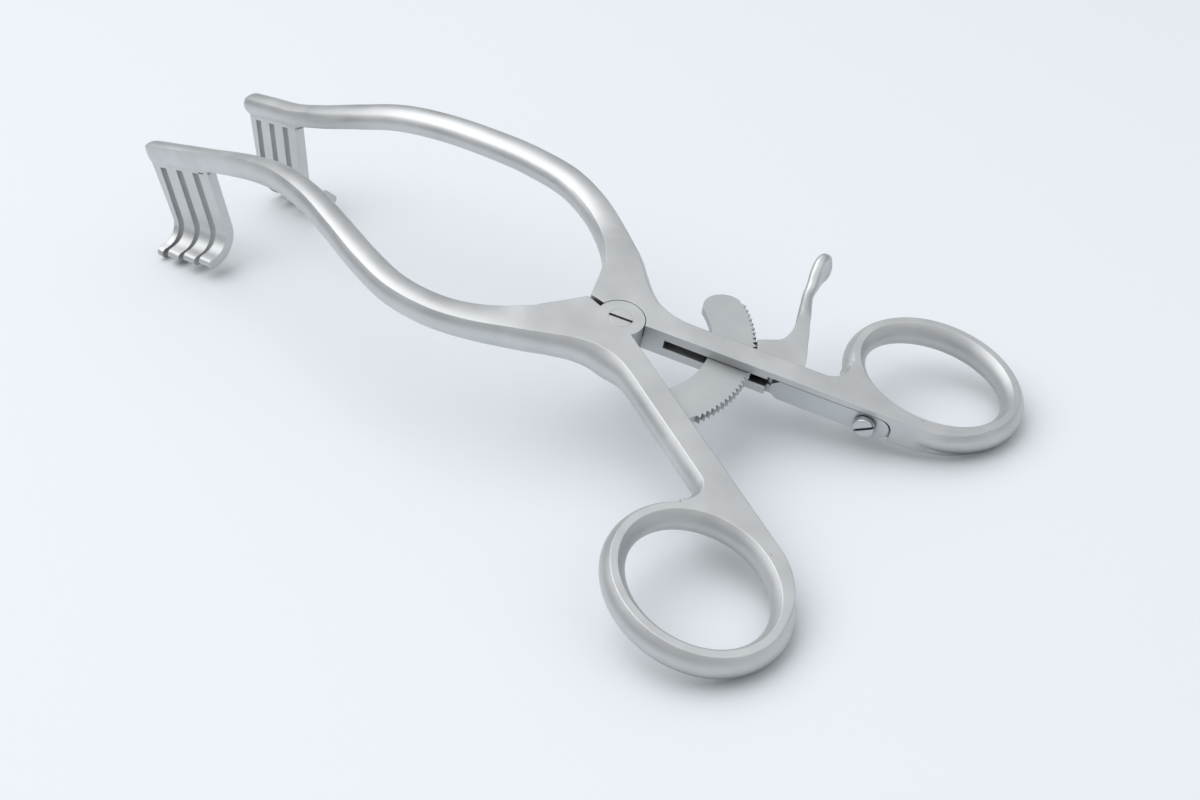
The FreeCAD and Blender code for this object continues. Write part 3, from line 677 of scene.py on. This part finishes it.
def makeSatinSteel(name, **changes):
    look = {**satin, **changes}
    material, nodes, links, shader = newMaterial(name)
    coords = nodes.new("ShaderNodeTexCoord").outputs["Object"]
    cloud = noiseNode(nodes, links, coords, look["cloudScale"], 4.0)
    grain = noiseNode(nodes, links, coords, look["grainScale"], 2.0, 0.6)
    mix = nodes.new("ShaderNodeMix")
    mix.data_type = "RGBA"
    mix.inputs["A"].default_value = (*look["tone"], 1)
    mix.inputs["B"].default_value = (*look["cloudTone"], 1)
    links.new(stretchNode(nodes, links, cloud, 0, 1), mix.inputs["Factor"])
    # Painted shade: the colour is darkened in slots, in gaps between teeth and down the sides near the table,
    # by how enclosed the surface is
    paintedShade = nodes.new("ShaderNodeAmbientOcclusion")
    paintedShade.samples = look["paintedShadeSamples"]
    paintedShade.inputs["Distance"].default_value = look["paintedShadeReach"]
    paintedShadeMix = nodes.new("ShaderNodeMix")
    paintedShadeMix.data_type, paintedShadeMix.blend_type = "RGBA", "MULTIPLY"
    paintedShadeMix.inputs["Factor"].default_value = 1.0
    links.new(mix.outputs["Result"], paintedShadeMix.inputs["A"])
    links.new(toneRamp(nodes, links, paintedShade.outputs["AO"], look["paintedShadeTones"]), paintedShadeMix.inputs["B"])
    links.new(paintedShadeMix.outputs["Result"], shader.inputs["Base Color"])
    links.new(stretchNode(nodes, links, cloud, *look["roughness"]), shader.inputs["Roughness"])
    shader.inputs["Metallic"].default_value = 1.0
    edge = nodes.new("ShaderNodeBevel")
    edge.samples = look["edgeSamples"]
    edge.inputs["Radius"].default_value = look["edgeRound"]
    bump = nodes.new("ShaderNodeBump")
    bump.inputs["Strength"].default_value = look["grainStrength"]
    bump.inputs["Distance"].default_value = look["grainDepth"]
    links.new(grain, bump.inputs["Height"])
    links.new(edge.outputs["Normal"], bump.inputs["Normal"])
    links.new(bump.outputs["Normal"], shader.inputs["Normal"])
    return material


satinSteel = makeSatinSteel("satinSteel")
barSteel = makeSatinSteel("barSteel", tone=(0.56, 0.575, 0.585), cloudTone=(0.61, 0.625, 0.63),
                          roughness=(0.42, 0.50), edgeRound=0.00006)
leafSteel = makeSatinSteel("leafSteel", tone=(0.55, 0.565, 0.58), cloudTone=(0.59, 0.605, 0.62),
                           roughness=(0.33, 0.4), edgeRound=0.00012)
finishes = {"ratchet_bar": barSteel, "leaf_spring": leafSteel}
for nodeName, piece in frame["nodes"].items():
    piece.data.materials.clear()
    piece.data.materials.append(finishes.get(nodeName, satinSteel))
for piece, body, finish in ((farArm, "far_side", satinSteel), (nearArm, "near_side", satinSteel),
                            (leverBody, "lever", satinSteel), (springHead, "far_side", leafSteel)):
    piece.data.materials.clear()
    piece.data.materials.append(finish)
    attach(piece, body)
print("finishes on the steel")


# Floor and light, in metres and watts
studio = {"floorTone": (0.79, 0.82, 0.85), "floorRoughness": 0.6, "floorSize": 3.0,
          "skyTones": ((0.0, 0.26), (0.16, 0.34), (0.42, 0.60), (0.75, 0.74), (1.0, 0.80)),
          "skyTint": (0.97, 1, 1.03),
          "keyLight": {"place": (-0.4, -0.2, 0.9), "size": 1.3, "power": 5.6},
          "fillLight": {"place": (0.7, 0.1, 0.6), "size": 0.8, "power": 0.8}}


def makeFloor():
    h = studio["floorSize"] / 2
    mesh = bpy.data.meshes.new("tableTop")
    mesh.from_pydata([(-h, -h, 0), (h, -h, 0), (h, h, 0), (-h, h, 0)], [], [(0, 1, 2, 3)])
    material, nodes, links, shader = newMaterial("paleTable")
    shader.inputs["Base Color"].default_value = (*studio["floorTone"], 1)
    shader.inputs["Roughness"].default_value = studio["floorRoughness"]
    mesh.materials.append(material)
    floor = addObject("tableTop", mesh)


def makeSoftbox(name):
    light, values = bpy.data.lights.new(name, "AREA"), studio[name]
    light.shape, light.size, light.energy = "DISK", values["size"], values["power"]
    lamp = addObject(name, light)
    lamp.location = values["place"]
    lamp.rotation_mode = "QUATERNION"
    lamp.rotation_quaternion = Vector(values["place"]).to_track_quat("Z", "Y")


def makeWorld():
    # A soft room: darker at the horizon, lighter overhead
    world = bpy.data.worlds.new("softRoom")
    bpy.context.scene.world = world
    world.use_nodes = True
    nodes, links = world.node_tree.nodes, world.node_tree.links
    height = nodes.new("ShaderNodeSeparateXYZ")
    links.new(nodes.new("ShaderNodeTexCoord").outputs["Generated"], height.inputs["Vector"])
    sky = toneRamp(nodes, links, height.outputs["Z"], studio["skyTones"], studio["skyTint"])
    links.new(sky, nodes["Background"].inputs["Color"])


makeFloor()
makeSoftbox("keyLight")
makeSoftbox("fillLight")
makeWorld()
bpy.context.scene.view_settings.view_transform = "Standard"
print("studio ready")
